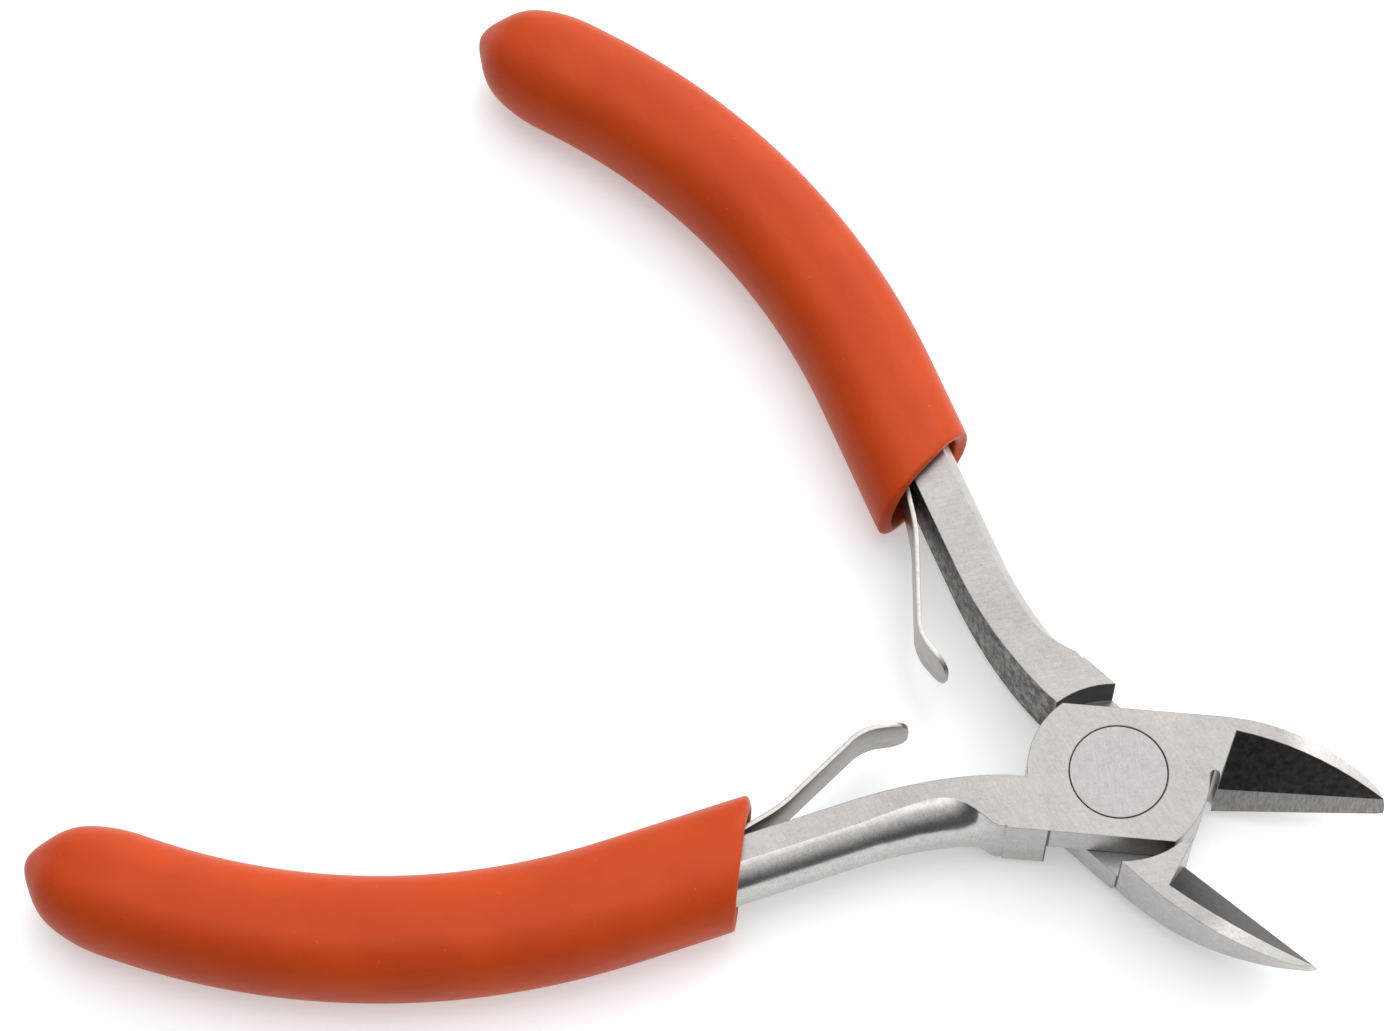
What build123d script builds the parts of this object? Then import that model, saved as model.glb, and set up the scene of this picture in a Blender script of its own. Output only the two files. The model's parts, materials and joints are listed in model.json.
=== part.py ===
from build123d import *
import os
from math import cos, radians, sin

os.makedirs("parts", exist_ok=True)

# Small flush cutter, 115 mm long when closed: two forged halves in a lap joint, one
# flush rivet, two vinyl sleeves and two leaf springs that push the handles apart.
#
# Frame: origin on the pivot axis at the back face of the joint, +Z out of the face
# that shows the ground hollows, +X from the pivot to the middle of the open jaws.
# Each half is drawn in its own closed frame: X runs along the line where the two cutting
# edges meet, the jaw is on +Y and the handle on -Y.

# ---------------------------------------------------------------- driving dimensions, mm
opening = 38.8                # angle between the halves as the cutter lies open, degrees

joint_thickness = 7.4
plate_radius = 7.8            # round ends of each lap plate
plate_width = 11.8            # between the two straight edges of a lap plate
shoulder_clearance = 0.3      # between a plate's round end and the shoulder that it turns in
lap_clearance = 0.1           # between the two plates

rivet_head_radius = 4.2
rivet_shank_radius = 2.6
rivet_head_depth = 1.3
rivet_rim = 0.07              # broken edge round each flush head and its seat
rivet_land = 0.3              # short straight side of the head below its rim
press_clearance = 0.02        # fixed fits, radial
running_clearance = 0.06      # turning fits, radial

heel_gap = 0.8                # from the plate's round end to the heel of the cutting edge
jaw_length = 14.5             # from heel to tip
jaw_edge_gap = 0.04           # each closed cutting edge stands this far off the centre line
jaw_back_rise = 2.7           # the back of a jaw rises this far from heel to tip
jaw_tip_height = 1.7          # blunt upright face at the tip
jaw_flank_radius = 24.6       # outer flank in plan
jaw_flank_end = (1.7, 2.2)    # where the flank turns in: back from the tip, off the centre line
jaw_tip_width = 0.3
jaw_face_start = 0.9          # the front face starts to fall this far past the heel
heel_notch_top = 0.5          # relief notch between plate and jaw, height of its straight sides
bevel_height = 2.8            # cutting bevel at the heel
bevel_width = 0.96
hollow_reach = 4.7            # ground hollow at the heel, from the centre line to its ridge
hollow_lean = 1.25            # the hollow's heel wall leans towards the tip by this much
jaw_tip_land = 0.55           # the bevel's top stands this far off the closing line at the tip
back_edge_round = 1.1         # soft edge along the back of the jaw's flank

neck_start = (1.6, -3.5)      # centre of the bar where it leaves the joint: past the plate, off centre
neck_slope = 5.0              # degrees
neck_radius = 39.4
bar_width = 4.7
bar_height = 6.2
root_width = 4.8              # the bar leaves the joint nearly square and as thick as it is
root_flat = 4.6
lower_bar_flat = 2.2          # flat top of the D section, lower half
lower_waist_flat = 1.6        # and where the round side is ground furthest into the neck
upper_bar_flat = 3.5          # the same on the upper half, which is ground less
upper_waist_flat = 3.4
waist_share = 0.4             # the waist, as a share of the neck from its root
handle_slope = 24.0           # straight run of the handle, degrees from the closing line
straight_length = 20.8
bow_radius = 63.5
tail_slope = 15.0             # the handle's end turns back in by this angle, degrees

grip_wall = 1.5
grip_corner = 4.3
bore_corner = 1.7
bore_outer_room = 0.4         # between the bar's round side and the bore
bore_spring_room = 2.6        # between the bar's inner wall and the bore, where the leaf lies
bore_side_room = 0.15         # over and under the bar
grip_mouth = 9.31             # from the start of the straight run back to the mouth, along the closing line
grip_tail = 9.4               # straight end of the sleeve past the bow, to its nose
dome_length = 4.6
nipple_length = 0.9
nipple_radius = 1.3
largest_corner = 0.46         # of any sleeve section, as a share of its height
# the dome's sections: share of its length from the sleeve, share of the sleeve's section
dome_shape = ((0, 1.0), (0.35, 0.96), (0.68, 0.8), (0.9, 0.56), (1.0, 0.36))

leaf_thickness = 0.45
leaf_width = 4.8
leaf_bend_radius = 1.6
leaf_hinge_gap = 0.15         # half the gap between foot and blade
# stations along the straight run, from its start towards the joint, and off its inner wall
leaf_hinge = (-7.7, 1.45)
leaf_bend = (-5.2, 1.6)
leaf_elbow = (4.0, 5.7)
leaf_tip = (7.9, 4.8)
foot_lift = (-11.6, 0.0)      # the foot leaves the wall here
foot_level_share = 0.35       # of the way from its hinge to there it keeps the hinge's direction
foot_end = -20.4
lower_leaf_set = 2.2          # how far each blade is set out or in from the shape above, degrees
upper_leaf_set = -2.2

spring_rivet_at = -16.5       # station along the straight run
spring_rivet_radius = 0.8
spring_rivet_head_radius = 1.5
spring_rivet_head_height = 0.7
spring_rivet_head_round = 0.42
spring_rivet_depth = 2.6

# ---------------------------------------------------------------- worked out from the above
middle = joint_thickness / 2
shoulder_radius = plate_radius + shoulder_clearance
jaw_root = plate_radius + heel_gap
jaw_tip = jaw_root + jaw_length
bore_width = bar_width + bore_outer_room + bore_spring_room
bore_height = bar_height + 2 * bore_side_room
grip_width = bore_width + 2 * grip_wall
grip_height = bore_height + 2 * grip_wall
grip_shift = (bore_spring_room - bore_outer_room) / 2     # the sleeve's centre lies inside the bar's
half_plate = plate_width / 2
bar_root = Vector(-plate_radius - neck_start[0], neck_start[1], middle)
far = 60.0                    # larger than anything that it has to cut


def heading(slope):
    """Unit vector along the handle, away from the joint."""
    return Vector(-cos(radians(slope)), -sin(radians(slope)), 0)


def outward(direction):
    """Unit vector across the handle, away from the other handle."""
    return Vector(-direction.Y, direction.X, 0)


def neck_line(shift=0.0):
    """Centre line of the neck, moved inwards by shift."""
    start = bar_root - outward(heading(neck_slope)) * shift
    with BuildLine(mode=Mode.PRIVATE) as neck:
        JernArc(start, heading(neck_slope), neck_radius + shift, handle_slope - neck_slope)
    return neck.line


def handle_line(shift, tail=0.0):
    """Centre line of the handle past its neck, moved inwards by shift."""
    with BuildLine() as line:
        straight = PolarLine(neck_line(shift) @ 1, straight_length, direction=heading(handle_slope))
        bow = JernArc(straight @ 1, straight % 1, bow_radius - shift, -(handle_slope + tail_slope))
        if tail:
            Line(bow @ 1, bow @ 1 + (bow % 1) * tail)
    return line.line


def across(point, direction):
    """Plane across the handle: x outwards, y up."""
    return Plane(origin=point, x_dir=outward(direction), z_dir=direction)


straight_start = handle_line(0) @ 0


def on_wall(station, height):
    """Point beside the bar's inner wall, at the joint's mid-height."""
    back = heading(handle_slope)
    return straight_start - back * station - outward(back) * (bar_width / 2 + height)


def bar_section(plane, width, flat, height):
    """D section: flat inner wall, flat top and bottom, round outer side."""
    with BuildSketch(plane) as section:
        with BuildLine():
            inner = -width / 2
            Polyline((inner + flat, height / 2), (inner, height / 2), (inner, -height / 2),
                     (inner + flat, -height / 2))
            ThreePointArc((inner + flat, -height / 2), (width / 2, 0), (inner + flat, height / 2))
        make_face()
    return section.sketch


def smooth(share):
    """0 to 1 with a level start and end."""
    share = min(max(share, 0), 1)
    return share * share * (3 - 2 * share)


def handle_bar(waist_flat, flat):
    """Square root that blends through the neck into a D section, which runs to the end."""
    neck = neck_line()
    run = handle_line(0)
    sections = []
    for share in (0, 0.15, 0.3, 0.45, 0.6, 0.8, 1):
        to_waist = smooth(share / waist_share)
        past_waist = smooth((share - waist_share) / (1 - waist_share))
        to_end = smooth(share)
        sections.append(bar_section(
            across(neck @ share, neck % share),
            width=root_width + (bar_width - root_width) * to_end,
            flat=root_flat + (waist_flat - root_flat) * to_waist + (flat - waist_flat) * past_waist,
            height=joint_thickness + (bar_height - joint_thickness) * to_end))
    with BuildPart() as bar:
        loft(sections=sections)
        sweep(sections=sections[-1], path=run)
    return bar.part


def ground_faces():
    """What the grinder takes off a jaw: the cutting bevel, then the hollow above it."""
    heel = Vector(jaw_root, jaw_edge_gap, 0)
    tip = Vector(jaw_tip, jaw_edge_gap, jaw_back_rise)
    bevel_top = Vector(jaw_root + hollow_lean * bevel_width / hollow_reach,
                       jaw_edge_gap + bevel_width, bevel_height)
    ridge = Vector(jaw_root + hollow_lean, hollow_reach, joint_thickness)
    edge = Plane(origin=heel, x_dir=tip - heel, z_dir=(tip - heel).cross(bevel_top - heel))
    tip_corner = Vector(jaw_tip, jaw_edge_gap + jaw_tip_land, jaw_back_rise + jaw_tip_height)
    slope = (ridge - bevel_top).cross(tip_corner - bevel_top)
    hollow = Plane(origin=bevel_top, x_dir=ridge - bevel_top, z_dir=slope)
    for face in (edge, hollow):
        with BuildPart() as space:
            with BuildSketch(Plane.XY.offset(-1)):
                with BuildLine():
                    lean = hollow_lean / (hollow_reach - jaw_edge_gap)
                    Polyline((jaw_root - far * lean, jaw_edge_gap - far), (far, -far), (far, far),
                             (jaw_root + far * lean, jaw_edge_gap + far), close=True)
                make_face()
            extrude(amount=joint_thickness + 2)
            split(bisect_by=face, keep=Keep.TOP if face.z_dir.Z > 0 else Keep.BOTTOM)
        yield space.part


def back_round(centre):
    """Ring that rounds the back edge of a jaw's flank, for a flank with its centre there in plan."""
    rise = jaw_back_rise / (jaw_tip - jaw_root)
    foot = Vector(centre.X, centre.Y, (centre.X - jaw_root) * rise)
    axis = Vector(-rise, 0, 1)
    start, side = jaw_flank_radius - back_edge_round, jaw_flank_radius
    with BuildPart() as ring:
        with BuildSketch(Plane(origin=foot, x_dir=(0, 1, 0), z_dir=Vector(0, 1, 0).cross(axis))):
            with BuildLine():
                soft = TangentArc((start, 0), (side, back_edge_round), tangent=(1, 0))
                Polyline(soft @ 1, (side + back_edge_round / 2, 3 * back_edge_round), (far, 0),
                         (far, -far / 4), (start, -far / 4), soft @ 0)
            make_face()
        revolve(axis=Axis(foot, axis))
    return ring.part


def jaw():
    """Jaw and the link that joins it to its lap plate, at full height."""
    tip_top = jaw_back_rise + jaw_tip_height
    face_start = jaw_root + jaw_face_start
    with BuildPart() as jaw:
        with BuildSketch():
            with BuildLine():
                side = Line((0, half_plate), (jaw_root, half_plate))
                flank_end = (jaw_tip - jaw_flank_end[0], jaw_flank_end[1])
                flank = RadiusArc(side @ 1, flank_end, jaw_flank_radius)
                TangentArc(flank @ 1, (jaw_tip, jaw_tip_width), tangent=flank % 1)
                Polyline((jaw_tip, jaw_tip_width), (jaw_tip, jaw_edge_gap), (jaw_root, jaw_edge_gap),
                         (jaw_root, heel_notch_top), (0, heel_notch_top), (0, half_plate))
            make_face()
            with Locations(((plate_radius + jaw_root) / 2, heel_notch_top)):
                Circle((jaw_root - plate_radius) / 2, mode=Mode.SUBTRACT)
        extrude(amount=joint_thickness)
        with BuildSketch(Plane.XZ):
            with BuildLine():
                Polyline((jaw_root, 0), (jaw_tip, jaw_back_rise), (far, jaw_back_rise),
                         (far, -1), (jaw_root, -1), close=True)
            make_face()
        extrude(amount=far, both=True, mode=Mode.SUBTRACT)
        add(back_round(flank.arc_center), mode=Mode.SUBTRACT)
        with BuildSketch(Plane.XZ):
            with BuildLine():
                fall = TangentArc((face_start, joint_thickness), (jaw_tip, tip_top), tangent=(1, 0))
                Polyline(fall @ 1, (far, tip_top), (far, far), (face_start, far), fall @ 0)
            make_face()
        extrude(amount=far, both=True, mode=Mode.SUBTRACT)
        for grind in ground_faces():
            add(grind, mode=Mode.SUBTRACT)
    return jaw.part


def forged_half(own_layer, other_layer, waist_flat, flat):
    """One half in its closed frame. A layer is the (low, high) height of a lap plate."""
    inner_root = outward(heading(neck_slope)) * (-root_width / 2)
    root_inner = bar_root + inner_root
    root_outer = bar_root - inner_root

    with BuildPart() as half:
        add(jaw())
        # root of the handle
        with BuildSketch():
            with BuildLine():
                Polyline((-plate_radius / 2, root_inner.Y), (root_inner.X, root_inner.Y),
                         (root_outer.X, root_outer.Y), (-plate_radius / 2, root_outer.Y), close=True)
            make_face()
        extrude(amount=joint_thickness)
        # room for the other half's plate
        with BuildSketch(Plane.XY.offset(other_layer[0])):
            Circle(shoulder_radius)
        extrude(amount=other_layer[1] - other_layer[0], mode=Mode.SUBTRACT)
        # lap plate
        with BuildSketch(Plane.XY.offset(own_layer[0])):
            Circle(plate_radius)
            Rectangle(far, plate_width, mode=Mode.INTERSECT)
        extrude(amount=own_layer[1] - own_layer[0])
        add(handle_bar(waist_flat, flat))
    return half.part


def hole_for_rivet(own_layer, clearance, front):
    """Countersunk hole through one lap plate, as the solid that is cut away."""
    with BuildPart() as hole:
        with BuildSketch(Plane.XY.offset(own_layer[0])):
            Circle(rivet_shank_radius + clearance)
        extrude(amount=own_layer[1] - own_layer[0])
        add(rivet_head(front, clearance))
    return hole.part


def rivet_head(front, clearance=0.0):
    """Conical flush head in the front or back face; clearance makes it the seat instead."""
    face = joint_thickness if front else 0.0
    inwards = -1 if front else 1
    rim = rivet_rim if clearance else -rivet_rim
    wide = rivet_head_radius + clearance
    with BuildPart() as head:
        with BuildSketch(Plane.XZ):
            with BuildLine():
                Polyline((0, face), (wide + rim, face), (wide, face + inwards * rivet_rim),
                         (wide, face + inwards * (rivet_rim + rivet_land)),
                         (rivet_shank_radius + clearance, face + inwards * (rivet_head_depth + clearance)),
                         (0, face + inwards * (rivet_head_depth + clearance)), close=True)
            make_face()
        revolve(axis=Axis.Z)
    return head.part


def sleeve_section(plane, width=grip_width, height=grip_height, corner=grip_corner, scale=1.0):
    """Rounded cross-section of the sleeve."""
    with BuildSketch(plane) as section:
        RectangleRounded(width * scale, height * scale, min(corner, height * largest_corner) * scale)
    return section.sketch


def sleeve():
    """Vinyl sleeve with a domed, nippled end, cut off square to the closing line at its mouth."""
    run = handle_line(grip_shift, tail=grip_tail - dome_length - nipple_length)
    bore_run = handle_line(grip_shift)
    end, aim = run @ 1, run % 1
    with BuildPart() as grip:
        sweep(sections=sleeve_section(across(run @ 0, run % 0)), path=run)
        dome = []
        for share, scale in dome_shape:
            dome.append(sleeve_section(across(end + aim * (dome_length * share), aim), scale=scale))
        loft(sections=dome)
        with BuildSketch(across(end + aim * (dome_length - nipple_length), aim)):
            Circle(nipple_radius)
        extrude(amount=2 * nipple_length)
        bore = sleeve_section(across(bore_run @ 0, bore_run % 0), bore_width, bore_height, bore_corner)
        sweep(sections=bore, path=bore_run, mode=Mode.SUBTRACT)
        with BuildSketch(Plane.YZ.offset(straight_start.X - grip_mouth)):
            Rectangle(2 * far, 2 * far)
        extrude(amount=far, mode=Mode.SUBTRACT)
    return grip.part


def strip(points, bend_radius):
    """Flat strip of the leaf's width that follows the points, with round bends."""
    with BuildLine(mode=Mode.PRIVATE) as route:
        FilletPolyline(*points, radius=bend_radius)
    with BuildPart() as leaf:
        with BuildSketch(across(route.line @ 0, route.line % 0)) as section:
            Rectangle(leaf_thickness, leaf_width)
        sweep(sections=section.sketch, path=route.line)
    return leaf.part


def leaf_foot():
    """Hidden end of the leaf, flat against the bar inside the sleeve."""
    hinge = on_wall(*leaf_hinge)
    end = on_wall(leaf_hinge[0] - leaf_hinge_gap, leaf_hinge[1])
    lift = on_wall(foot_lift[0], foot_lift[1] + leaf_thickness / 2)
    back = on_wall(foot_end, leaf_thickness / 2)
    with BuildPart() as foot:
        add(strip([end, end + (lift - hinge) * foot_level_share, lift, back], leaf_bend_radius))
        with Locations(across_wall(spring_rivet_at, 0)):
            Cylinder(spring_rivet_radius + press_clearance, 3 * leaf_thickness, mode=Mode.SUBTRACT)
    return foot.part


def across_wall(station, height):
    """Plane on the bar's inner wall, facing the other handle."""
    back = heading(handle_slope)
    return Plane(origin=on_wall(station, height), x_dir=back, z_dir=outward(back) * -1)


def leaf_blade(leaf_set):
    """Free end of the leaf, set out from the nominal shape by an angle about its hinge."""
    hinge = on_wall(*leaf_hinge)
    start = on_wall(leaf_hinge[0] + leaf_hinge_gap, leaf_hinge[1])
    bend, elbow, tip = on_wall(*leaf_bend), on_wall(*leaf_elbow), on_wall(*leaf_tip)
    tip_aim = (tip - elbow).normalized()
    with BuildPart() as blade:
        add(strip([start, bend, elbow, tip], leaf_bend_radius))
        with BuildSketch(Plane(origin=tip - tip_aim * (leaf_width / 2), x_dir=tip_aim,
                               z_dir=outward(tip_aim))):
            Rectangle(leaf_width, leaf_width + 1, align=(Align.MIN, Align.CENTER))
            Circle(leaf_width / 2, mode=Mode.SUBTRACT)
        extrude(amount=leaf_width / 2, both=True, mode=Mode.SUBTRACT)
    return blade.part.rotate(Axis(hinge, (0, 0, 1)), leaf_set)


def spring_rivet():
    """Small round-headed rivet that holds the foot of a leaf to the bar."""
    with BuildPart() as rivet:
        with BuildSketch(across_wall(spring_rivet_at, -spring_rivet_depth)):
            Circle(spring_rivet_radius)
        extrude(amount=spring_rivet_depth + leaf_thickness + press_clearance)
        with BuildSketch(across_wall(spring_rivet_at, leaf_thickness + press_clearance)):
            Circle(spring_rivet_head_radius)
        extrude(amount=spring_rivet_head_height)
        top = rivet.faces().sort_by(Axis(on_wall(spring_rivet_at, 0), across_wall(0, 0).z_dir))[-1]
        fillet(top.edges(), spring_rivet_head_round)
    return rivet.part


def spring_rivet_hole():
    """Blind hole in the bar for the spring's rivet, as the solid that is cut away."""
    with BuildPart() as hole:
        with BuildSketch(across_wall(spring_rivet_at, -spring_rivet_depth - press_clearance)):
            Circle(spring_rivet_radius + press_clearance)
        extrude(amount=spring_rivet_depth + 1)
    return hole.part


def open_lower(piece):
    """From the closed frame to the lower half's place in the open cutter."""
    return piece.rotate(Axis.Z, opening / 2)


def open_upper(piece):
    """Turned over about the closing line, then to the upper half's place."""
    return piece.mirror(Plane.XZ).rotate(Axis.Z, -opening / 2)


front_layer = (middle + lap_clearance / 2, joint_thickness)
back_layer = (0.0, middle - lap_clearance / 2)

# ---------------------------------------------------------------- lower half and what it carries
with BuildPart() as lower_half:
    add(open_lower(forged_half(front_layer, (0.0, front_layer[0]),
                               lower_waist_flat, lower_bar_flat)))
    add(hole_for_rivet(front_layer, press_clearance, front=True), mode=Mode.SUBTRACT)
    add(open_lower(spring_rivet_hole()), mode=Mode.SUBTRACT)
lower_half.part.label = "lower_half"
export_step(lower_half.part, "parts/lower_half.step")

with BuildPart() as pivot_rivet:
    add(rivet_head(front=True))
    add(rivet_head(front=False))
    with BuildSketch():
        Circle(rivet_shank_radius)
    extrude(amount=joint_thickness)
pivot_rivet.part.label = "pivot_rivet"
export_step(pivot_rivet.part, "parts/pivot_rivet.step")

with BuildPart() as lower_grip:
    add(open_lower(sleeve()))
lower_grip.part.label = "lower_grip"
export_step(lower_grip.part, "parts/lower_grip.step")

with BuildPart() as lower_spring_foot:
    add(open_lower(leaf_foot()))
lower_spring_foot.part.label = "lower_spring_foot"
export_step(lower_spring_foot.part, "parts/lower_spring_foot.step")

with BuildPart() as lower_spring_rivet:
    add(open_lower(spring_rivet()))
lower_spring_rivet.part.label = "lower_spring_rivet"
export_step(lower_spring_rivet.part, "parts/lower_spring_rivet.step")

with BuildPart() as lower_spring_blade:
    add(open_lower(leaf_blade(lower_leaf_set)))
lower_spring_blade.part.label = "lower_spring_blade"
export_step(lower_spring_blade.part, "parts/lower_spring_blade.step")

# ---------------------------------------------------------------- upper half and what it carries
with BuildPart() as upper_half:
    add(open_upper(forged_half(back_layer, (back_layer[1], joint_thickness),
                               upper_waist_flat, upper_bar_flat)))
    add(hole_for_rivet(back_layer, running_clearance, front=False), mode=Mode.SUBTRACT)
    add(open_upper(spring_rivet_hole()), mode=Mode.SUBTRACT)
upper_half.part.label = "upper_half"
export_step(upper_half.part, "parts/upper_half.step")

with BuildPart() as upper_grip:
    add(open_upper(sleeve()))
upper_grip.part.label = "upper_grip"
export_step(upper_grip.part, "parts/upper_grip.step")

with BuildPart() as upper_spring_foot:
    add(open_upper(leaf_foot()))
upper_spring_foot.part.label = "upper_spring_foot"
export_step(upper_spring_foot.part, "parts/upper_spring_foot.step")

with BuildPart() as upper_spring_rivet:
    add(open_upper(spring_rivet()))
upper_spring_rivet.part.label = "upper_spring_rivet"
export_step(upper_spring_rivet.part, "parts/upper_spring_rivet.step")

with BuildPart() as upper_spring_blade:
    add(open_upper(leaf_blade(upper_leaf_set)))
upper_spring_blade.part.label = "upper_spring_blade"
export_step(upper_spring_blade.part, "parts/upper_spring_blade.step")
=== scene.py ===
import json
import math

import bpy
from mathutils import Matrix, Vector


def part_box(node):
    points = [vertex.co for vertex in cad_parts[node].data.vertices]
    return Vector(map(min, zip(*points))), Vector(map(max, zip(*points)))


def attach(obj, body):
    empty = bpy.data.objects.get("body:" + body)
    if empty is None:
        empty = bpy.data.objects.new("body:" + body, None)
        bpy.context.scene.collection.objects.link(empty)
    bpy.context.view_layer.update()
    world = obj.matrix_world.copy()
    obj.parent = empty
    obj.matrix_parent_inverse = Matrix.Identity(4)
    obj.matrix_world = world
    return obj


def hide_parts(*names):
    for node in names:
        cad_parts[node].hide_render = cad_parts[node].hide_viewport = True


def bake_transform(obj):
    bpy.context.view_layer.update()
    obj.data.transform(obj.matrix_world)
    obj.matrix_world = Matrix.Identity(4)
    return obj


bl_info = {
    "name": "Flush cutter looks",
    "version": (1, 0, 0),
    "blender": (4, 5, 0),
    "location": "View3D > Sidebar > Cutter",
    "description": "Sleeves, leaf springs, steel finishes and a studio for a small flush cutter",
    "category": "Object",
}

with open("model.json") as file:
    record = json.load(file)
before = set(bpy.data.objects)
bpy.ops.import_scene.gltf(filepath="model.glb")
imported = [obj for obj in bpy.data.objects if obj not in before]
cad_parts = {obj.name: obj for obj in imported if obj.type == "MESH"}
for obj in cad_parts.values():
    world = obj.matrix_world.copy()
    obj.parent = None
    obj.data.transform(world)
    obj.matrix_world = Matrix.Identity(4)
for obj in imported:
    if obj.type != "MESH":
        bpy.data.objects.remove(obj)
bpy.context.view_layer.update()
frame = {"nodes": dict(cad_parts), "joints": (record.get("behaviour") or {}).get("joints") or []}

MM = 0.001
SIDES = (("lower", 1), ("upper", -1))      # the upper half is the lower one turned over
WELD = 1e-6                                # vertices nearer than this are joined, in metres
SAME_PLACE = 1e-5                          # points nearer than this are the same one
SAME_LEVEL = 1e-4                          # heights nearer than this are the same one
SHARP = math.radians(50)                   # edges that turn by more than this are rounded
STRIP_SMOOTH = math.radians(40)            # a leaf is shaded smooth across less than this
STRIP_TILE = 10                            # side of a leaf's texture tile, in mm

# ------------------------------------------------------------- facts that the frame gives
opening = math.radians(next(j for j in frame["joints"] if j["name"] == "pivot")["range_deg"][1])
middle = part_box("pivot_rivet")[1].z / MM / 2        # height of the bars' and sleeves' middle
floor_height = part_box("lower_grip")[0].z

# ------------------------------------------------- the handle's line, closed frame, in mm
# X runs from the pivot to the jaws' tips, along the line where the cutting edges meet. The
# lower half's handle lies towards -X and -Y.
HANDLE_SLOPE = math.radians(24)
STRAIGHT_START = Vector((-21.99, -6.756, 0))
STRAIGHT_LENGTH = 20.8
BOW_RADIUS = 63.5
BOW_TURN = math.radians(39)
BAR_WIDTH = 4.7
ALONG = Vector((-math.cos(HANDLE_SLOPE), -math.sin(HANDLE_SLOPE), 0))    # away from the joint
OUTWARD = Vector((-ALONG.y, ALONG.x, 0))                     # away from the other handle
UP = Vector((0, 0, 1))

# ----------------------------------------------- where each finish lies, same frame, in mm
SHOULDER_RADIUS = 8.1
RIVET_RADIUS = 4.2
RING_RADIUS = RIVET_RADIUS + 0.04               # of the fine ring of painted shade in the groove round the rivet's head
HOLLOW_NORMAL = (-0.0935, -0.7661, 0.6364)      # of the two ground faces of a jaw
BEVEL_NORMAL = (-0.0612, -0.9424, 0.3287)
SAME_FACE = (0.992, 0.997)                      # cosines over which such a face is told apart
JAW_FROM = (7.9, 8.1)                           # stretches of X over which a finish begins
WALL_FROM = (-8.4, -7.9)
BAR_FROM = (-11, -9)
SOFT_EDGE = 0.12                                # softening of the ground edges in the shading
UPPER_BAR_DULLER = 0.16                         # more roughness on the upper half's round side

# ------------------------------------------------------------------- colours of the details
PIT = (0.12, 0.10, 0.09)
LEAF_PIT = (0.10, 0.09, 0.08)
# painted shade: the machined shoulder walls are painted dark for the shade that lies on them
SHOULDER_SHADE = (0.07, 0.062, 0.055)
# painted shade: the dark ring in the groove round the rivet's head, on the halves, and the darkened
# rim of the head beside it
RIVET_GROOVE_SHADE = (0.05, 0.042, 0.035)
RIVET_RIM_SHADE = (0.09, 0.08, 0.07)
BEVEL_DARK, BEVEL_BRIGHT = (0.15, 0.138, 0.13), (0.27, 0.255, 0.245)
DUST = (0.25, 0.04, 0.015)
SCUFF = (0.80, 0.20, 0.08)
VINYL_SHEEN = (1.0, 0.50, 0.28, 1)
FLOOR_DARK, FLOOR_BRIGHT = (0.69, 0.715, 0.72), (0.71, 0.735, 0.735)

# -------------------------------------------------------------- how finely curves are drawn
CORNER_STEPS = 6
STRAIGHT_STEPS = 3
BOW_STEPS = 16
BEND_STEPS = 8

# ------------------------------------------------------------- leaf and sleeve's end, in mm
# points of a leaf's middle: along the straight run from its start, and off the bar's inner wall
LEAF_FOOT = ((-20.4, 0.225), (-11.6, 0.225))
LEAF_HINGE = (-7.7, 1.45)
LEAF_BLADE = ((-5.2, 1.6), (4.0, 5.7), (7.9, 4.8))
LEAF_SET = math.radians(2.2)                    # each blade's own turn about its hinge

MOUTH_CLEARANCE = 1.0                           # from the oblique cut to the first ring past it

# the sleeve's end: distance from the tip, and the section there as a share of the full one
NOSE = ((8.1, 1.0), (6.8, 0.98), (5.2, 0.92), (4.2, 0.862), (3.4, 0.80), (2.6, 0.705), (1.86, 0.58),
        (1.3, 0.45), (0.8, 0.34), (0.4, 0.235), (0.12, 0.13), (0.0, 0.06))

# --------------------------------------------------------------------------------- the stage
# lamps: name, spread in degrees, and the direction that each one shines from. A broad key
# stands behind the cutter, and a smaller lamp nearly overhead for its ridges.
LAMPS = (("key", 42, (0.0, 1.25, 1.0)), ("top", 34, (-0.06, 0.12, 1.0)))
# the room is bright overhead and behind the cutter, and dim in front of it
ROOM_TOWARD = Vector((0.22, 0.62, 0.75)).normalized()
ROOM_FADE = (-0.05, 0.95)                       # cosines to that direction
ROOM_DIM, ROOM_BRIGHT = 0.13, 1.35
FLOOR_GLOW = 0.37
FLOOR_DROP = 0.02                               # floor below the cutter, in mm
CAMERA_PLACE = Vector((25.4, -141.6, 361.0))    # in mm
CAMERA_AIM = Vector((-43.2, 8.56, 3.7))
CAMERA_UPRIGHT = Vector((-0.377, 0.826, 0.420))
SENSOR = 36                                     # its width in mm
CLIP_START = 0.01                               # in metres


def sized(name, text, value):
    """A length in metres, given in millimetres."""
    return bpy.props.FloatProperty(name=name, description=text, default=value * MM, min=0,
                                   precision=5, subtype="DISTANCE", unit="LENGTH")


def coloured(name, text, value):
    return bpy.props.FloatVectorProperty(name=name, description=text, default=value, size=3,
                                         min=0, max=1, subtype="COLOR")


def shared(name, text, value, most=1.0):
    return bpy.props.FloatProperty(name=name, description=text, default=value, min=0, max=most)


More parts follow.
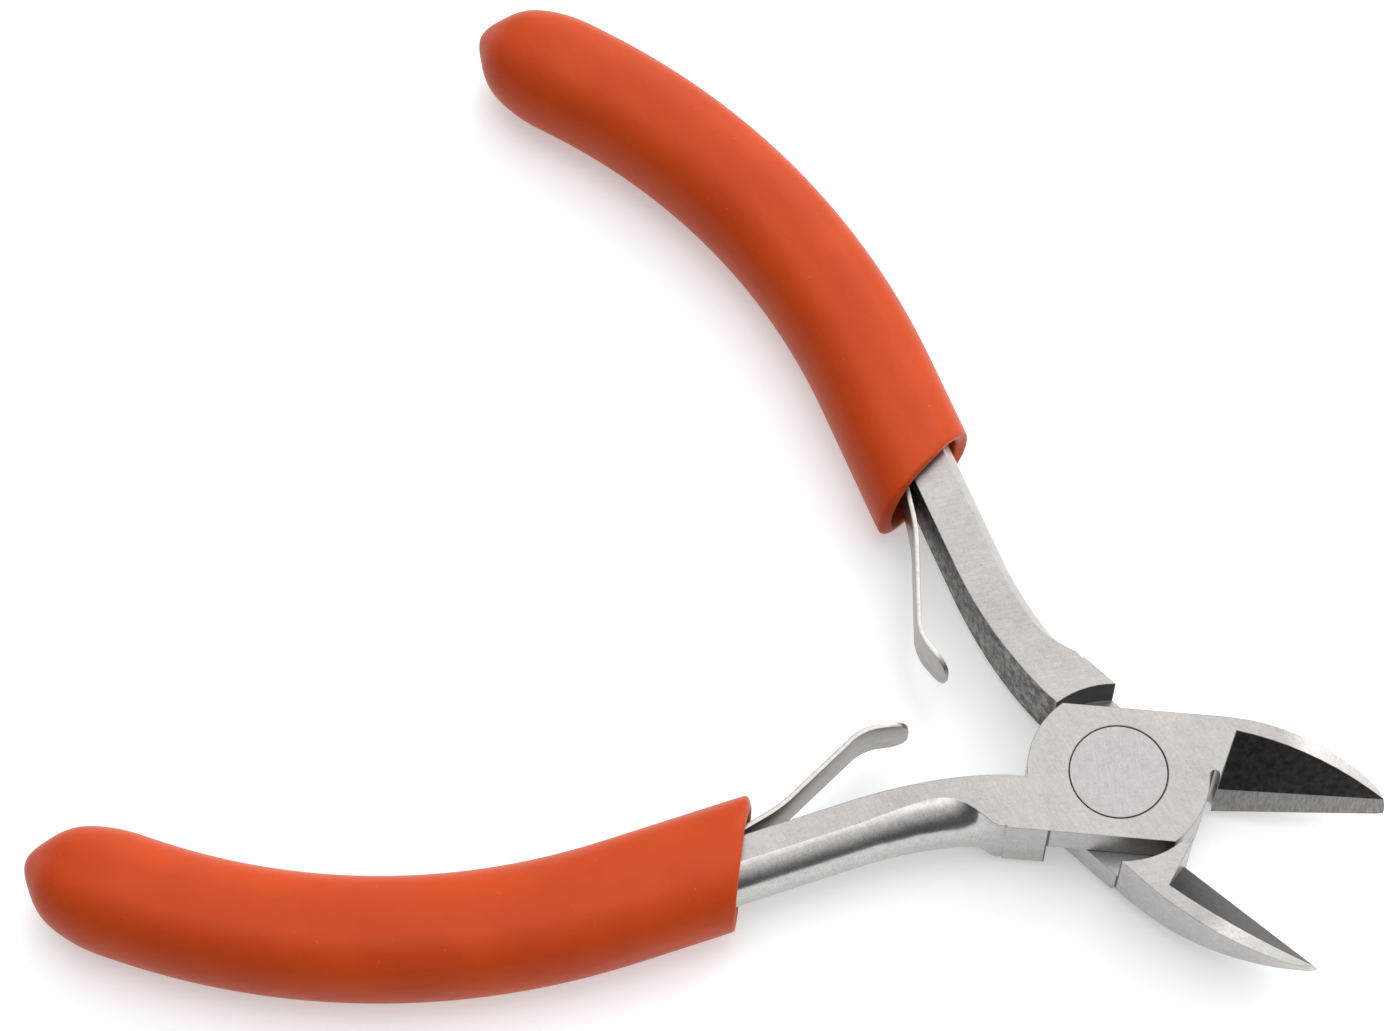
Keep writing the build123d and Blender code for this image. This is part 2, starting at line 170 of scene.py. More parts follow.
class SleeveSettings(bpy.types.PropertyGroup):
    """The vinyl sleeves on the handles."""
    width: sized("Width", "Across the sleeve, in the plane of the cutter", 10.7)
    height: sized("Height", "Through the sleeve", 9.5)
    corner: sized("Corner", "Radius of the section's corners", 4.3)
    wall: sized("Wall", "Thickness of the vinyl", 1.3)
    shift: sized("Shift", "The sleeve's middle lies this far inside the bar's", 1.1)
    mouth: sized("Mouth", "From the pivot to the mouth, along the closing line", 31.3)
    tail: sized("Tail", "Straight end, from the bow to the nose", 9.4)
    lip: sized("Lip", "Rounding of the mouth's edges", 0.3)
    colour: coloured("Colour", "Vinyl in plain light", (0.47, 0.052, 0.007))
    # painted shade: a darker, redder copy of the vinyl colour standing for the vinyl in shade, not
    # for a thicker dip; the sleeve material lays it in at random patches
    shade: coloured("Shade", "Vinyl where the dip is thicker", (0.43, 0.045, 0.008))
    roughness: shared("Roughness", "How broad the vinyl's highlights are", 0.40)


class LeafSettings(bpy.types.PropertyGroup):
    """The leaf springs between the handles."""
    thickness: sized("Thickness", "Thickness of the strip", 0.45)
    width: sized("Width", "Width of the strip", 4.8)
    bend: sized("Bend", "How far each bend reaches from its corner", 1.3)
    lip: sized("Lip", "Rounding of the strip's edges", 0.07)
    tip_round: shared("Tip", "Corner radius of the tip as a share of the width", 0.36)
    blend: sized("Flexing length", "Half the length over which the leaf bends as it works", 3.2)
    colour: coloured("Colour", "Spring steel", (0.40, 0.372, 0.355))
    roughness: shared("Roughness", "Finish of the spring steel", 0.30)


class SteelSettings(bpy.types.PropertyGroup):
    """The forged and ground halves and the rivets."""
    colour: coloured("Ground steel", "Ground faces", (0.47, 0.447, 0.43))
    forged: coloured("Forged steel", "Faces left as forged", (0.20, 0.185, 0.17))
    # painted reflection: the hollows' colour is dark for the dark surroundings that these mirror
    # faces reflect
    hollow: coloured("Hollow", "Faces of the ground hollows", (0.085, 0.078, 0.07))
    rivet: coloured("Rivet", "Flush head of the pivot rivet", (0.24, 0.227, 0.22))
    # painted shade: the share of the colour that the flat faces keep, so that they mirror less of
    # the bright room
    flat_shade: shared("Flats", "How much of that colour the flat front and back faces keep", 0.53)
    roughness: shared("Roughness", "Finish of the ground faces", 0.36)
    bar_roughness: shared("Bar roughness", "Finish of the polished round side", 0.2)


class StageSettings(bpy.types.PropertyGroup):
    """Floor, lights and camera."""
    floor_size: sized("Floor", "Side of the floor", 6000)
    key: shared("Key", "Strength of the key light", 1.15, 20)
    top: shared("Top", "Strength of the light overhead", 0.50, 20)
    sky: shared("Sky", "Strength of the light all round", 1.15, 20)
    lens: bpy.props.FloatProperty(name="Lens", description="Focal length on a 36 mm sensor",
                                  default=114.93, min=10, unit="CAMERA")


# --------------------------------------------------------------------------- mesh helpers
def let_go():
    """Nothing selected, in object mode."""
    if bpy.context.object is not None and bpy.context.object.mode != "OBJECT":
        bpy.ops.object.mode_set(mode="OBJECT")
    bpy.ops.object.select_all(action="DESELECT")


def take(piece):
    let_go()
    piece.select_set(True)
    bpy.context.view_layer.objects.active = piece


def apply_place(piece):
    take(piece)
    bpy.ops.object.transform_apply(location=True, rotation=True, scale=True)


def pick(piece, wanted, kind="VERT"):
    """Selects, in edit mode, the vertices or edges that wanted() says yes to."""
    bpy.ops.mesh.select_mode(type=kind)
    bpy.ops.mesh.select_all(action="DESELECT")
    bpy.ops.object.mode_set(mode="OBJECT")
    for part in {"VERT": piece.data.vertices, "EDGE": piece.data.edges}[kind]:
        part.select = bool(wanted(part))
    bpy.ops.object.mode_set(mode="EDIT")


def extrude(step):
    bpy.ops.mesh.extrude_region_move(TRANSFORM_OT_translate={"value": step})


def new_plane(name):
    """A square of side 1 to start a piece from."""
    let_go()
    bpy.ops.mesh.primitive_plane_add(size=1)
    piece = bpy.context.object
    piece.name = piece.data.name = name
    return piece


def weld():
    """In edit mode, joins vertices that lie on one another."""
    bpy.ops.mesh.select_all(action="SELECT")
    bpy.ops.mesh.remove_doubles(threshold=WELD)


def face_outward():
    """In edit mode, turns every face the right way round."""
    bpy.ops.mesh.select_all(action="SELECT")
    bpy.ops.mesh.normals_make_consistent(inside=False)


def finish_modifier(piece, kind, **settings):
    take(piece)
    modifier = piece.modifiers.new(kind.title(), kind)
    for name, value in settings.items():
        setattr(modifier, name, value)
    bpy.ops.object.modifier_apply(modifier=modifier.name)


def round_edges(piece, width, segments):
    finish_modifier(piece, "BEVEL", width=width, segments=segments, limit_method="ANGLE",
                    angle_limit=SHARP)


def turn_to_place(piece, side):
    """From the closed frame to the piece's place in the open cutter, in metres."""
    flip = Matrix.Diagonal((1, side, 1, 1))
    piece.matrix_world = Matrix.Rotation(side * opening / 2, 4, "Z") @ flip
    apply_place(piece)
    if side < 0:
        # the flip has turned the faces inside out
        bpy.ops.object.mode_set(mode="EDIT")
        weld()
        face_outward()
        bpy.ops.object.mode_set(mode="OBJECT")


def on_wall(station, height):
    """Point beside the bar's inner wall: along the straight run, then off the wall, in mm."""
    return STRAIGHT_START - ALONG * station - OUTWARD * (BAR_WIDTH / 2 + height) + UP * middle


# --------------------------------------------------------------------------- node helpers
def add_node(tree, kind, inputs=None, **settings):
    """A node with its settings, its constant inputs and its links."""
    node = tree.nodes.new(kind)
    for name, value in settings.items():
        setattr(node, name, value)
    for key, value in (inputs or {}).items():
        if isinstance(value, bpy.types.NodeSocket):
            tree.links.new(value, node.inputs[key])
        else:
            node.inputs[key].default_value = value
    return node


def calc(tree, operation, a, b=0.0):
    return add_node(tree, "ShaderNodeMath", {0: a, 1: b}, operation=operation).outputs[0]


def ramp(tree, value, low, high, start=0.0, end=1.0):
    """Smooth change from start at low to end at high."""
    return add_node(tree, "ShaderNodeMapRange",
                    {"Value": value, "From Min": low, "From Max": high, "To Min": start,
                     "To Max": end}, interpolation_type="SMOOTHSTEP").outputs["Result"]


def paint(tree, factor, under, over, way="MIX"):
    """Colour over laid on colour under by factor."""
    def filled(colour):
        return colour if isinstance(colour, bpy.types.NodeSocket) else (*colour, 1)
    return add_node(tree, "ShaderNodeMix", {0: factor, 6: filled(under), 7: filled(over)},
                    data_type="RGBA", blend_type=way).outputs[2]


def noise(tree, place, scale, detail=3.0, roughness=0.55):
    return add_node(tree, "ShaderNodeTexNoise",
                    {"Vector": place, "Scale": scale, "Detail": detail,
                     "Roughness": roughness}).outputs["Fac"]


def stretched(tree, place, scale, turn=0.0):
    """The place turned about Z and scaled, so that a noise on it runs in lines."""
    turned = add_node(tree, "ShaderNodeMapping", {"Vector": place, "Rotation": (0, 0, turn)})
    return add_node(tree, "ShaderNodeMapping",
                    {"Vector": turned.outputs[0], "Scale": scale}).outputs[0]


def lined(tree, place, scale, turn, detail):
    """Noise that runs in lines."""
    return noise(tree, stretched(tree, place, scale, turn), 1.0, detail)


def facing(tree, vector, direction, low, high, start=0.0, end=1.0):
    """end where the vector runs along direction, start elsewhere; low and high are cosines."""
    cosine = add_node(tree, "ShaderNodeVectorMath", {0: vector, 1: tuple(direction)},
                      operation="DOT_PRODUCT").outputs["Value"]
    return ramp(tree, cosine, low, high, start, end)


def split_axes(tree, vector):
    return add_node(tree, "ShaderNodeSeparateXYZ", {0: vector}).outputs


def summed(tree, start, *parts):
    """start plus each value times its weight."""
    total = start
    for value, weight in parts:
        total = calc(tree, "ADD", total, calc(tree, "MULTIPLY", value, weight))
    return total


def varied(tree, usual, value, reach):
    """The usual value, moved up and down by a noise that lies round 0.5."""
    return summed(tree, usual, (calc(tree, "SUBTRACT", value, 0.5), reach))


def both(tree, first, second):
    """1 where both masks are 1."""
    return calc(tree, "MULTIPLY", first, second)


def near(tree, value, centre, inside, outside):
    """1 where value lies within inside of centre, 0 from outside on."""
    off = calc(tree, "ABSOLUTE", calc(tree, "SUBTRACT", value, centre))
    return ramp(tree, off, inside, outside, 1, 0)


def from_axis(tree, place):
    """Distance from the pivot's axis."""
    flat = stretched(tree, place, (1, 1, 0))
    return add_node(tree, "ShaderNodeVectorMath", {0: flat}, operation="LENGTH").outputs["Value"]


def grey(tree, value):
    return add_node(tree, "ShaderNodeCombineColor", {0: value, 1: value, 2: value}).outputs[0]


def tinted(tree, colour, tone):
    """The colour made lighter or darker by a tone round 1."""
    return paint(tree, 1.0, colour, grey(tree, tone), "MULTIPLY")


def shades(tree, factor, colour, low, high):
    """From low times the colour to high times the colour by factor."""
    return paint(tree, factor, tuple(low * c for c in colour), tuple(high * c for c in colour))


def marked(tree, under, marks, strength, over):
    """Colour over laid on colour under where the marks are, at the given strength."""
    return paint(tree, calc(tree, "MULTIPLY", marks, strength), under, over)


def mixed(tree, factor, under, over):
    """A value that goes from under to over by factor."""
    return add_node(tree, "ShaderNodeMix", {0: factor, 2: under, 3: over}).outputs[0]


def bumped(tree, height, strength, distance, below=None):
    """Normal over a height; distance is in millimetres."""
    inputs = {"Strength": strength, "Distance": distance * MM, "Height": height}
    if below:
        inputs["Normal"] = below
    return add_node(tree, "ShaderNodeBump", inputs).outputs[0]


def new_material(name):
    material = bpy.data.materials.new(name)
    material.use_nodes = True
    tree = material.node_tree
    return material, tree, tree.nodes["Principled BSDF"]


def join_up(tree, shader, colour, rough, normal, metallic):
    tree.links.new(colour, shader.inputs["Base Color"])
    tree.links.new(rough, shader.inputs["Roughness"])
    tree.links.new(normal, shader.inputs["Normal"])
    shader.inputs["Metallic"].default_value = metallic


def closed_frame(tree, kind, side, scale):
    """Coordinates of one kind, turned into the closed frame of one half and scaled."""
    found = add_node(tree, "ShaderNodeTexCoord").outputs[kind]
    return add_node(tree, "ShaderNodeMapping",
                    {"Vector": found, "Rotation": (0, 0, -opening / 2),
                     "Scale": (scale, side * scale, scale)}).outputs[0]


def place_in_mm(tree, side):
    return closed_frame(tree, "Object", side, 1 / MM)


# ------------------------------------------------------------------------------ materials
def steel_material(name, side, bar_polish):
    """Ground steel of one half, with its forged faces, its hollow painted dark as a painted
    reflection, and painted shade on its flat faces, its shoulders and round the rivet.
    """
    look = bpy.context.scene.cutter_steel
    material, tree, shader = new_material(name)
    place = place_in_mm(tree, side)
    normal = closed_frame(tree, "Normal", side, 1)
    x = split_axes(tree, place)[0]
    level = calc(tree, "ABSOLUTE", split_axes(tree, normal)[2])

    # ground faces: fine lines, mottling, grit and a few pits
    lines = lined(tree, place, scale=(0.5, 9, 4), turn=math.radians(55), detail=4)
    cross_lines = lined(tree, place, scale=(0.8, 14, 5), turn=math.radians(-20), detail=3)
    mottle = noise(tree, place, scale=1.6, detail=6, roughness=0.7)
    cloud = noise(tree, place, scale=0.22, detail=2)
    grit = noise(tree, place, scale=5.0, detail=3, roughness=0.6)
    pits = ramp(tree, noise(tree, place, scale=4.2, detail=2), 0.69, 0.75)
    tone = summed(tree, 0.09, (lines, 0.42), (cross_lines, 0.14), (mottle, 0.5), (cloud, 0.30),
                  (grit, 0.46))
    ground = tinted(tree, look.colour, tone)
    ground = marked(tree, ground, pits, 0.55, PIT)
    # painted shade: the flat front and back faces are darkened so that they mirror less of the
    # bright room
    ground = tinted(tree, ground, ramp(tree, level, 0.975, 0.995, 1.0, look.flat_shade))

    # faces left as forged: the handle's inner wall
    scale_marks = noise(tree, stretched(tree, place, (1.2, 1.2, 0.7)), scale=1.3, detail=7,
                        roughness=0.75)
    forged = shades(tree, ramp(tree, scale_marks, 0.38, 0.66), look.forged, low=0.45, high=1.8)
    as_forged = both(tree, facing(tree, normal, -OUTWARD, 0.6, 0.8),
                     ramp(tree, x, *WALL_FROM, 1, 0))

    # the hollow, painted dark as a painted reflection; the bevel's cross marks; painted shade on
    # the machined shoulders and in the ring round the rivet
    on_jaw = ramp(tree, x, *JAW_FROM)
    # painted reflection: the hollow faces mirror a dark room, so their colour is painted dark
    hollow = both(tree, facing(tree, normal, HOLLOW_NORMAL, *SAME_FACE), on_jaw)
    bevel = both(tree, facing(tree, normal, BEVEL_NORMAL, *SAME_FACE), on_jaw)
    bevel_marks = noise(tree, stretched(tree, place, (5, 0.8, 1.2), math.radians(12)), scale=1.0,
                        detail=5, roughness=0.65)
    radius = from_axis(tree, place)
    # painted shade: the shoulder walls, painted dark for the shade on them
    shoulder_shade = both(tree, near(tree, radius, SHOULDER_RADIUS, inside=0.05, outside=0.12),
                    ramp(tree, level, 0.2, 0.5, 1, 0))
    # painted shade: a fine dark ring in the groove round the rivet's head
    ring = near(tree, radius, RING_RADIUS, inside=0.02, outside=0.07)

    colour = paint(tree, as_forged, ground, forged)
    colour = paint(tree, hollow, colour, shades(
        tree, ramp(tree, mottle, 0.3, 0.7), look.hollow, low=0.7, high=1.4))
    colour = paint(tree, bevel, colour, paint(
        tree, ramp(tree, bevel_marks, 0.25, 0.75), BEVEL_DARK, BEVEL_BRIGHT))
    colour = paint(tree, shoulder_shade, colour, SHOULDER_SHADE)
    colour = marked(tree, colour, ring, 0.55, RIVET_GROOVE_SHADE)

    # the round side of the bar is polished
    round_side = both(tree, ramp(tree, level, 0.90, 0.98, 1, 0), ramp(tree, x, *BAR_FROM, 1, 0))
    round_side = both(tree, round_side, calc(tree, "SUBTRACT", 1.0, as_forged))
    rough = mixed(tree, round_side, varied(tree, look.roughness, mottle, 0.22),
                  varied(tree, bar_polish, cloud, 0.15))
    rough = mixed(tree, as_forged, rough, 0.55)

    height = summed(tree, 0.0, (lines, 0.5), (mottle, 0.5),
                    (both(tree, scale_marks, as_forged), 4.0))
    edge = add_node(tree, "ShaderNodeBevel", {"Radius": SOFT_EDGE * MM}, samples=4).outputs[0]
    join_up(tree, shader, colour, rough,
            bumped(tree, height, strength=0.35, distance=0.02, below=edge), metallic=1.0)
    return material


def rivet_material(name):
    """Turned and ground flush with the plates: soft blotches, scratches and a dark rim of painted
    shade beside the groove round the head.
    """
    look = bpy.context.scene.cutter_steel
    material, tree, shader = new_material(name)
    place = place_in_mm(tree, 1)
    lines = lined(tree, place, scale=(0.7, 10, 4), turn=math.radians(80), detail=3)
    blotch = noise(tree, place, scale=0.8, detail=6, roughness=0.7)
    grit = noise(tree, place, scale=5.0, detail=3, roughness=0.6)
    pits = ramp(tree, noise(tree, place, scale=3.6, detail=2), 0.68, 0.75)
    shade = tinted(tree, look.rivet,
                   summed(tree, 0.29, (lines, 0.38), (blotch, 0.60), (grit, 0.48)))
    shade = marked(tree, shade, pits, 0.6, PIT)
    # painted shade: the head darkens towards its rim, beside the groove round it
    rim = ramp(tree, from_axis(tree, place), RIVET_RADIUS - 0.06, RIVET_RADIUS)
    shade = paint(tree, rim, shade, RIVET_RIM_SHADE)
    join_up(tree, shader, shade, varied(tree, look.roughness, blotch, reach=0.2),
            bumped(tree, lines, strength=0.3, distance=0.02), metallic=1.0)
    return material


def leaf_material(name):
    """Blanked spring steel with mottled faces, laid out along the strip."""
    look = bpy.context.scene.cutter_leaf
    material, tree, shader = new_material(name)
    place = add_node(tree, "ShaderNodeUVMap", uv_map="UVMap").outputs[0]
    mottle = noise(tree, place, scale=14.0, detail=6, roughness=0.75)
    streaks = lined(tree, place, scale=(3, 40, 1), turn=0, detail=3)
    pits = ramp(tree, noise(tree, place, scale=38.0, detail=2), 0.66, 0.74)
    shade = tinted(tree, look.colour, summed(tree, 0.30, (mottle, 0.9), (streaks, 0.4)))
    shade = marked(tree, shade, pits, 0.5, LEAF_PIT)
    rough = summed(tree, look.roughness, (mottle, 0.2))
    join_up(tree, shader, shade, rough, bumped(tree, mottle, strength=0.3, distance=0.02),
            metallic=1.0)
    return material


def vinyl_material(name, side):
    """Dipped vinyl: satin, faintly uneven, with dust and small scuffs."""
    look = bpy.context.scene.cutter_sleeve
    material, tree, shader = new_material(name)
    place = place_in_mm(tree, side)
    cloud = noise(tree, place, scale=0.12, detail=3)
    ripple = lined(tree, place, scale=(0.10, 0.35, 0.35), turn=-HANDLE_SLOPE, detail=2)
    peel = noise(tree, place, scale=2.2, detail=4)
    dust = ramp(tree, noise(tree, place, scale=3.0, detail=2, roughness=0.5), 0.73, 0.78)
    scratches = lined(tree, place, scale=(0.5, 5, 5), turn=math.radians(35), detail=2)
    scuff = ramp(tree, scratches, 0.70, 0.78)
    # painted shade: large random patches of the darker copy of the vinyl colour
    shade = paint(tree, ramp(tree, cloud, 0.35, 0.65), look.shade, look.colour)
    shade = marked(tree, shade, dust, 0.35, DUST)
    shade = marked(tree, shade, scuff, 0.25, SCUFF)
    rough = summed(tree, varied(tree, look.roughness, peel, reach=0.14), (scuff, 0.15))
    fine = bumped(tree, peel, strength=0.25, distance=0.03)
    join_up(tree, shader, shade, rough,
            bumped(tree, ripple, strength=0.35, distance=0.25, below=fine), metallic=0.0)
    shader.inputs["Specular IOR Level"].default_value = 0.10
    shader.inputs["Sheen Weight"].default_value = 0.10
    shader.inputs["Sheen Roughness"].default_value = 0.5
    shader.inputs["Sheen Tint"].default_value = VINYL_SHEEN
    return material


def floor_material():
    """Matt white paper that glows a little, so that the shadows on it stay light."""
    material, tree, shader = new_material("stage_floor")
    place = add_node(tree, "ShaderNodeTexCoord").outputs["Object"]
    grain = ramp(tree, noise(tree, place, scale=60.0, detail=3), 0.3, 0.7)
    tree.links.new(paint(tree, grain, FLOOR_DARK, FLOOR_BRIGHT), shader.inputs["Base Color"])
    shader.inputs["Roughness"].default_value = 0.9
    shader.inputs["Specular IOR Level"].default_value = 0.0
    shader.inputs["Emission Color"].default_value = (1, 1, 1, 1)
    shader.inputs["Emission Strength"].default_value = FLOOR_GLOW
    return material


def give(piece, material):
    """Puts the material in the piece's slots."""
    if not piece.material_slots:
        piece.data.materials.append(material)
    for holder in piece.material_slots:
        holder.material = material


# ------------------------------------------------------------------------------ operators
class CUTTER_OT_sleeves(bpy.types.Operator):
    """Dipped vinyl sleeves with an open mouth and a blunt rounded nose"""
    bl_idname = "cutter.sleeves"
    bl_label = "Make the sleeves"

    def execute(self, context):
        for name, side in SIDES:
            piece = self.shell(name + "_sleeve")
            turn_to_place(piece, side)
            self.thicken(piece)
            give(piece, vinyl_material(name + "_vinyl", side))
            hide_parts(name + "_grip")
            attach(piece, name + "_handle")
        return {"FINISHED"}

    def shell(self, name):
        """Outer skin in the closed frame."""
        look = bpy.context.scene.cutter_sleeve
        line_start = (STRAIGHT_START - OUTWARD * (look.shift / MM) + UP * middle) * MM
        piece = new_plane(name)
        piece.scale = (look.width, look.height, 1)
        apply_place(piece)
        bpy.ops.object.mode_set(mode="EDIT")
        bpy.ops.mesh.select_all(action="SELECT")
        bpy.ops.mesh.bevel(affect="VERTICES", offset=look.corner, segments=CORNER_STEPS)
        bpy.ops.object.mode_set(mode="OBJECT")
        axes = Matrix((OUTWARD, UP, ALONG)).transposed().to_4x4()
        piece.matrix_world = Matrix.Translation(line_start) @ axes
        apply_place(piece)

        # one long first span, so that the oblique cut at the mouth crosses no ring
        to_mouth = (-look.mouth - line_start.x) / ALONG.x
        first_span = (to_mouth + look.width / 2 * math.tan(HANDLE_SLOPE)
                      + MOUTH_CLEARANCE * MM)
        bpy.ops.object.mode_set(mode="EDIT")
        bpy.ops.mesh.select_mode(type="FACE")
        bpy.ops.mesh.select_all(action="SELECT")
        self.weigh(1.0, new=True)
        extrude(ALONG * first_span)
        for _ in range(STRAIGHT_STEPS):
            extrude(ALONG * ((STRAIGHT_LENGTH * MM - first_span) / STRAIGHT_STEPS))
        bow_start = line_start + ALONG * (STRAIGHT_LENGTH * MM)
        bow_centre = bow_start - OUTWARD * (BOW_RADIUS * MM - look.shift)
        bpy.ops.mesh.spin(steps=BOW_STEPS, angle=BOW_TURN, center=bow_centre, axis=UP)
        self.nose(piece, look, Matrix.Rotation(-BOW_TURN, 3, "Z") @ ALONG)
        weld()
        bpy.ops.mesh.select_all(action="SELECT")
        bpy.ops.mesh.bisect(plane_co=(-look.mouth, 0, 0), plane_no=(1, 0, 0), clear_outer=True)
        face_outward()
        bpy.ops.object.mode_set(mode="OBJECT")
        return piece

    def nose(self, piece, look, aim):
        """Straight end and blunt conical nose, from the face that the spin has left selected."""
        before, size = look.tail / MM, 1.0
        for from_tip, share in NOSE:
            extrude(aim * ((before - from_tip) * MM))
            bpy.ops.transform.resize(value=(share / size,) * 3,
                                     center_override=self.selected_middle(piece))
            self.weigh(share)
            before, size = from_tip, share

    def weigh(self, share, new=False):
        """Share of the wall that the selected ring gets, so that the wall thins into the nose."""
        bpy.context.scene.tool_settings.vertex_group_weight = share
        if new:
            bpy.ops.object.vertex_group_assign_new()
        else:
            bpy.ops.object.vertex_group_assign()

    def selected_middle(self, piece):
        piece.update_from_editmode()
        points = [v.co for v in piece.data.vertices if v.select]
        return sum(points, Vector()) / len(points)

    def thicken(self, piece):
        look = bpy.context.scene.cutter_sleeve
        finish_modifier(piece, "SOLIDIFY", thickness=look.wall, offset=-1.0, use_even_offset=True,
                        vertex_group=piece.vertex_groups[0].name)
        round_edges(piece, look.lip, segments=3)
        finish_modifier(piece, "SUBSURF", levels=1, render_levels=1)
        take(piece)
        bpy.ops.object.shade_smooth()


class CUTTER_OT_leaves(bpy.types.Operator):
    """Leaf springs: one bent strip each, from inside the sleeve to its rounded tip"""
    bl_idname = "cutter.leaves"
    bl_label = "Make the leaf springs"

    def execute(self, context):
        for name, side in SIDES:
            piece = self.strip(name + "_leaf_spring", side)
            turn_to_place(piece, side)
            self.thicken(piece)
            give(piece, leaf_material(name + "_spring_steel"))
            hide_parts(name + "_spring_foot", name + "_spring_blade")
            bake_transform(piece)
        return {"FINISHED"}

    def placed(self, point, side):
        flipped = Vector((point.x, side * point.y, point.z))
        return Matrix.Rotation(side * opening / 2, 3, "Z") @ flipped

    def strip(self, name, side):
        """Middle surface of the strip, in the closed frame."""
        look = bpy.context.scene.cutter_leaf
        hinge = on_wall(*LEAF_HINGE)
        blade_set = Matrix.Rotation(LEAF_SET * side, 3, "Z")
        free = [hinge + blade_set @ (on_wall(*point) - hinge) for point in LEAF_BLADE]
        route = [*(on_wall(*point) for point in LEAF_FOOT), *free]
        piece = new_plane(name)
        bpy.ops.object.mode_set(mode="EDIT")
        pick(piece, lambda vertex: vertex.co.y > 0)
        bpy.ops.mesh.delete(type="VERT")
        bpy.ops.object.mode_set(mode="OBJECT")
        # what is left is one edge along X, which is stood up across the strip
        piece.matrix_world = (
            Matrix.Translation(route[0] * MM) @ Matrix.Rotation(math.pi / 2, 4, "Y")
            @ Matrix.Scale(look.width, 4) @ Matrix.Translation((0, 0.5, 0)))
        apply_place(piece)
        bpy.ops.object.mode_set(mode="EDIT")
        bpy.ops.mesh.select_mode(type="EDGE")
        bpy.ops.mesh.select_all(action="SELECT")
        for here, there in zip(route, route[1:]):
            extrude((there - here) * MM)
        pick(piece, lambda edge: self.stands_at(piece, edge, route[1:-1]), "EDGE")
        bpy.ops.mesh.bevel(affect="EDGES", offset=look.bend, segments=BEND_STEPS)
        pick(piece, lambda vertex: self.lies_over(vertex.co, route[-1]))
        bpy.ops.mesh.bevel(affect="VERTICES", offset=look.width * look.tip_round,
                           segments=BEND_STEPS)
        face_outward()
        bpy.ops.object.mode_set(mode="OBJECT")
        return piece

    def lies_over(self, place, point):
        """Whether a place in metres lies over a point in mm, at any height."""
        return (Vector(place.xy) - Vector(point.xy) * MM).length < SAME_PLACE

    def stands_at(self, piece, edge, corners):
        """Whether the edge runs across the strip at one of the corners."""
        a, b = (piece.data.vertices[i].co for i in edge.vertices)
        return abs(a.z - b.z) > SAME_LEVEL and any(self.lies_over(a, c) for c in corners)

    def thicken(self, piece):
        look = bpy.context.scene.cutter_leaf
        finish_modifier(piece, "SOLIDIFY", thickness=look.thickness, offset=0.0)
        round_edges(piece, look.lip, segments=2)
        take(piece)
        bpy.ops.object.mode_set(mode="EDIT")
        face_outward()
        bpy.ops.uv.cube_project(cube_size=STRIP_TILE * MM)
        bpy.ops.object.mode_set(mode="OBJECT")
        bpy.ops.object.shade_smooth_by_angle(angle=STRIP_SMOOTH)


class CUTTER_OT_halves(bpy.types.Operator):
    """Finish of the two forged halves"""
    bl_idname = "cutter.halves"
    bl_label = "Finish the halves"

    def execute(self, context):
        polish = context.scene.cutter_steel.bar_roughness
        for (name, side), bar_polish in zip(SIDES, (polish, polish + UPPER_BAR_DULLER)):
            give(frame["nodes"][name + "_half"],
                 steel_material(name + "_ground_steel", side, bar_polish))
        return {"FINISHED"}


class CUTTER_OT_rivets(bpy.types.Operator):
    """Finish of the pivot rivet and of the two rivets that hold the springs"""
    bl_idname = "cutter.rivets"
    bl_label = "Finish the rivets"

    def execute(self, context):
        material = rivet_material("rivet_steel")
        for name in ("pivot_rivet", "lower_spring_rivet", "upper_spring_rivet"):
            give(frame["nodes"][name], material)
        return {"FINISHED"}


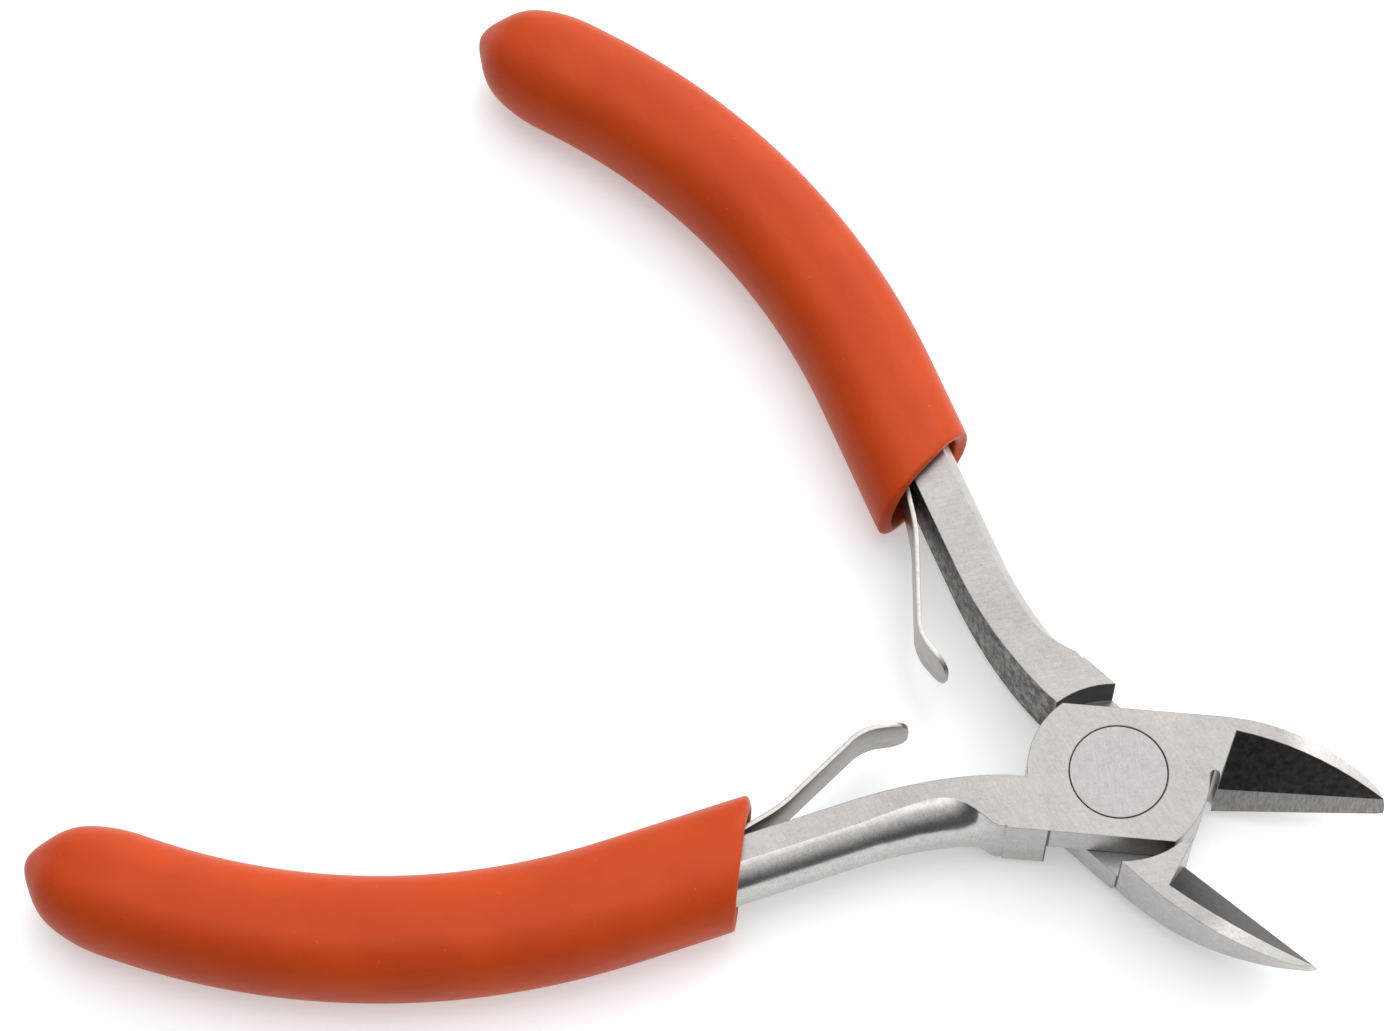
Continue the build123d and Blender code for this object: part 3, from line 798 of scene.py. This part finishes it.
class CUTTER_OT_stage(bpy.types.Operator):
    """White floor, soft lights and the camera"""
    bl_idname = "cutter.stage"
    bl_label = "Set the stage"

    def execute(self, context):
        look = context.scene.cutter_stage
        let_go()
        bpy.ops.mesh.primitive_grid_add(x_subdivisions=8, y_subdivisions=8, size=look.floor_size,
                                        location=(0, 0, floor_height - FLOOR_DROP * MM))
        floor = context.object
        floor.name = "floor"
        apply_place(floor)
        give(floor, floor_material())
        self.lights(context, look)
        self.camera(context, look)
        context.scene.view_settings.view_transform = "Standard"
        return {"FINISHED"}

    def lights(self, context, look):
        for name, spread, direction in LAMPS:
            bpy.ops.object.light_add(type="SUN")
            lamp = context.object
            lamp.name = name
            lamp.data.energy = getattr(look, name)
            lamp.data.angle = math.radians(spread)
            lamp.rotation_mode = "QUATERNION"
            lamp.rotation_quaternion = Vector(direction).to_track_quat("Z", "Y")
        world = bpy.data.worlds.new("studio")
        context.scene.world = world
        world.use_nodes = True
        tree = world.node_tree
        background = tree.nodes["Background"]
        ray = add_node(tree, "ShaderNodeTexCoord").outputs["Generated"]
        glow = facing(tree, ray, ROOM_TOWARD, *ROOM_FADE, ROOM_DIM, ROOM_BRIGHT)
        tree.links.new(grey(tree, glow), background.inputs["Color"])
        background.inputs["Strength"].default_value = look.sky

    def camera(self, context, look):
        place = CAMERA_PLACE * MM
        back = (place - CAMERA_AIM * MM).normalized()
        right = CAMERA_UPRIGHT.cross(back).normalized()
        bpy.ops.object.camera_add()
        camera = context.object
        camera.name = "camera"
        camera.data.lens = look.lens
        camera.data.sensor_width = SENSOR
        camera.data.clip_start = CLIP_START
        turn = Matrix((right, back.cross(right), back)).transposed().to_4x4()
        camera.matrix_world = Matrix.Translation(place) @ turn
        context.scene.camera = camera


class CUTTER_PT_panel(bpy.types.Panel):
    """Lists the steps in the order in which they are run"""
    bl_label = "Flush cutter"
    bl_idname = "CUTTER_PT_panel"
    bl_space_type = "VIEW_3D"
    bl_region_type = "UI"
    bl_category = "Cutter"

    def draw(self, context):
        for step in STEPS:
            self.layout.operator(step.bl_idname)


STEPS = (CUTTER_OT_sleeves, CUTTER_OT_leaves, CUTTER_OT_halves, CUTTER_OT_rivets, CUTTER_OT_stage)
SETTINGS = {"cutter_sleeve": SleeveSettings, "cutter_leaf": LeafSettings,
            "cutter_steel": SteelSettings, "cutter_stage": StageSettings}


def register():
    for group in (*SETTINGS.values(), *STEPS, CUTTER_PT_panel):
        bpy.utils.register_class(group)
    for name, group in SETTINGS.items():
        setattr(bpy.types.Scene, name, bpy.props.PointerProperty(type=group))


def unregister():
    for name in SETTINGS:
        delattr(bpy.types.Scene, name)
    for group in (CUTTER_PT_panel, *reversed(STEPS), *SETTINGS.values()):
        bpy.utils.unregister_class(group)


def main():
    register()
    bpy.ops.cutter.sleeves()
    bpy.ops.cutter.leaves()
    bpy.ops.cutter.halves()
    bpy.ops.cutter.rivets()
    bpy.ops.cutter.stage()


if __name__ == "__main__":
    main()
